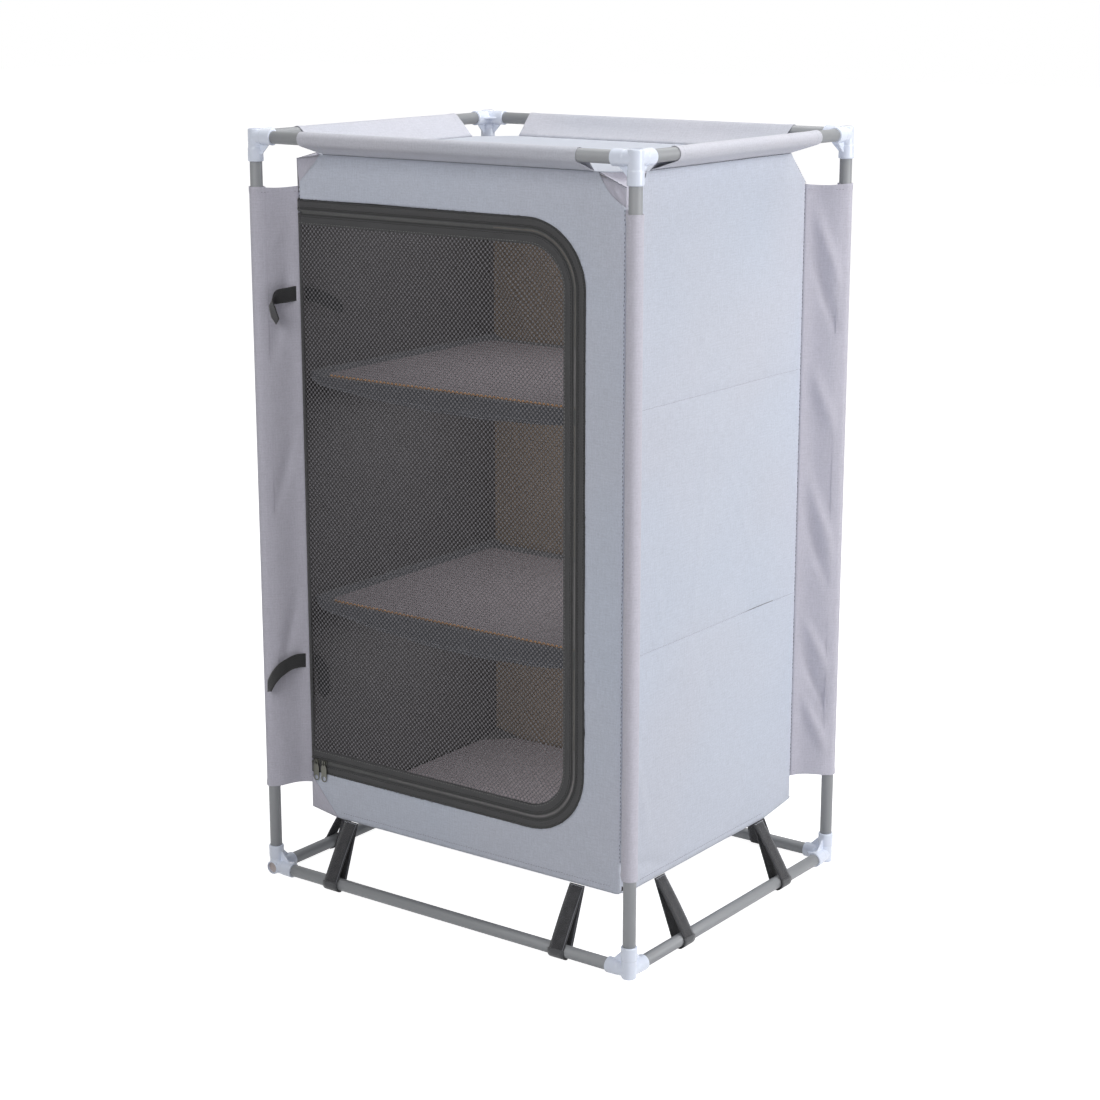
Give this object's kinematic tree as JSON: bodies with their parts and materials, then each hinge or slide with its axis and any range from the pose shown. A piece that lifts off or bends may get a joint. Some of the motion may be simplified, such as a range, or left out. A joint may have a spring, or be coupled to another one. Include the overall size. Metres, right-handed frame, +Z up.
{
  "type": "fabric camp kitchen cupboard",
  "caption": "Free-standing camping cupboard: push-fit tube frame, hanging cloth body with shelves, zipped net door and an open tray on top.",
  "frame": {"origin": "on the ground, at the middle of the frame's outline", "axes": "+Z up; +X to the right and +Y to the back for someone who faces the door"},
  "size_m": [0.6, 0.5, 1],
  "materials": {
    "tube_paint": "satin grey powder coat",
    "connector_plastic": "glossy bluish white moulding",
    "body_cloth": "light grey coated polyester",
    "wing_cloth": "light grey coated polyester",
    "shelf_cloth": "grey polyester, in shade",
    "shelf_board": "thin fibreboard, grey face, raw brown edge",
    "zip_tape": "dark grey woven tape",
    "door_net": "dark grey knitted net",
    "zip_metal": "dark plated die casting",
    "tie_tape": "black woven tape",
    "strap_tape": "dark grey hook-and-loop tape"
  },
  "bodies": {
    "cupboard": {"connector_bottom_front_left": "connector_plastic", "connector_bottom_front_right": "connector_plastic", "connector_bottom_rear_left": "connector_plastic", "connector_bottom_rear_right": "connector_plastic", "bottom_rail_front": "tube_paint", "bottom_rail_rear": "tube_paint", "bottom_rail_left": "tube_paint", "bottom_rail_right": "tube_paint", "connector_top_front_left": "connector_plastic", "connector_top_front_right": "connector_plastic", "connector_top_rear_left": "connector_plastic", "connector_top_rear_right": "connector_plastic", "top_rail_front": "tube_paint", "top_rail_rear": "tube_paint", "top_rail_left": "tube_paint", "top_rail_right": "tube_paint", "lower_post_front_left": "tube_paint", "upper_post_front_left": "tube_paint", "wing_front_left": "wing_cloth", "lower_post_front_right": "tube_paint", "upper_post_front_right": "tube_paint", "wing_front_right": "wing_cloth", "lower_post_rear_left": "tube_paint", "upper_post_rear_left": "tube_paint", "wing_rear_left": "wing_cloth", "lower_post_rear_right": "tube_paint", "upper_post_rear_right": "tube_paint", "wing_rear_right": "wing_cloth", "front_wall": "body_cloth", "back_wall": "body_cloth", "left_wall": "body_cloth", "right_wall": "body_cloth", "floor_panel": "body_cloth", "tray_floor": "body_cloth", "apron_front": "body_cloth", "apron_rear": "body_cloth", "apron_left": "body_cloth", "apron_right": "body_cloth", "strap_front_left": "strap_tape", "strap_front_right": "strap_tape", "strap_rear_left": "strap_tape", "strap_rear_right": "strap_tape", "strap_left_front": "strap_tape", "strap_left_rear": "strap_tape", "strap_right_front": "strap_tape", "strap_right_rear": "strap_tape", "upper_shelf_board": "shelf_board", "lower_shelf_board": "shelf_board", "bottom_board": "shelf_board", "upper_shelf_cloth": "shelf_cloth", "lower_shelf_cloth": "shelf_cloth", "tie_tape_upper": "tie_tape", "tie_tape_lower": "tie_tape", "zip_half_body": "zip_tape"},
    "door": {"door_net": "door_net", "zip_half_door": "zip_tape"},
    "slider_left": {"zip_slider_left": "zip_metal"},
    "slider_right": {"zip_slider_right": "zip_metal"},
    "tab_left": {"pull_tab_left": "zip_metal"},
    "tab_right": {"pull_tab_right": "zip_metal"}
  },
  "joints": [
    {"name": "door_hinge", "type": "hinge", "parent": "cupboard", "child": "door", "pos_m": [-0.2538, -0.2032, 0.1437], "axis": [0, 0, -1], "range_deg": [0, 90]},
    {"name": "slider_left_run", "type": "slide", "parent": "door", "child": "slider_left", "axis": [1, 0, 0], "range_m": [0, 0.15]},
    {"name": "slider_right_run", "type": "slide", "parent": "slider_left", "child": "slider_right", "axis": [1, 0, 0], "range_m": [0, 0.18]},
    {"name": "tab_left_swing", "type": "hinge", "parent": "slider_left", "child": "tab_left", "pos_m": [-0.24405, -0.20625, 0.1598], "axis": [-1, 0, 0], "range_deg": [0, 175]},
    {"name": "tab_right_swing", "type": "hinge", "parent": "slider_right", "child": "tab_right", "pos_m": [-0.23055, -0.20625, 0.1598], "axis": [-1, 0, 0], "range_deg": [0, 175]}
  ]
}
